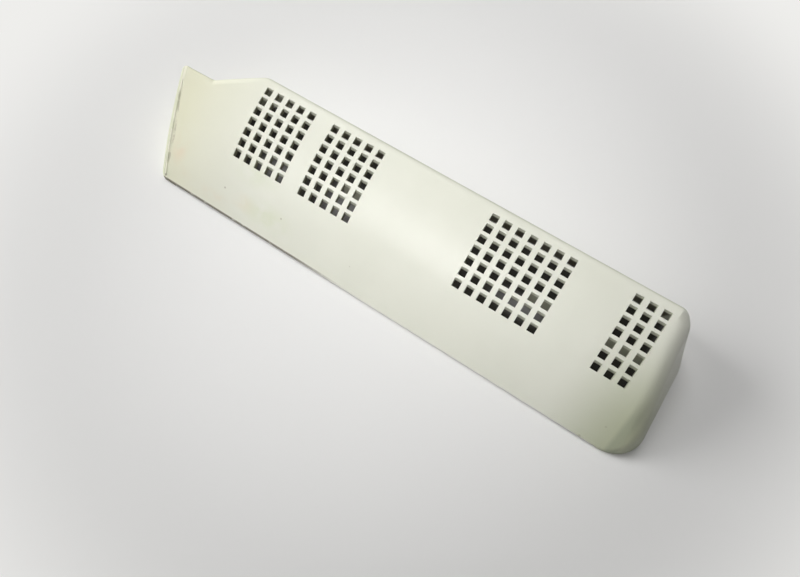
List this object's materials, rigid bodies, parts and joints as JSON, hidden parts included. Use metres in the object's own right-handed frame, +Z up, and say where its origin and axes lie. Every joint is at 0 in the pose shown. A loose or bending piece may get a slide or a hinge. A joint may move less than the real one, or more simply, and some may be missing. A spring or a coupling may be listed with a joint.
{
  "type": "washing machine drum paddle",
  "caption": "Hollow moulded washing machine drum paddle: curved flank with fields of square drain holes, steep back, rounded end, narrow stepped tail, screw bosses inside.",
  "frame": {"origin": "centre of the rim's outline on the seating plane that touches the drum", "axes": "+X along the paddle from the narrow tail to the rounded end, +Y from the front rim below the perforated flank to the steep back, +Z up from the drum"},
  "size_m": [0.2421, 0.0633, 0.033],
  "materials": {
    "moulded_plastic": "smooth semi-matte ivory plastic, slightly yellowed with use"
  },
  "bodies": {
    "root": {"drum_paddle": "moulded_plastic"}
  },
  "joints": []
}
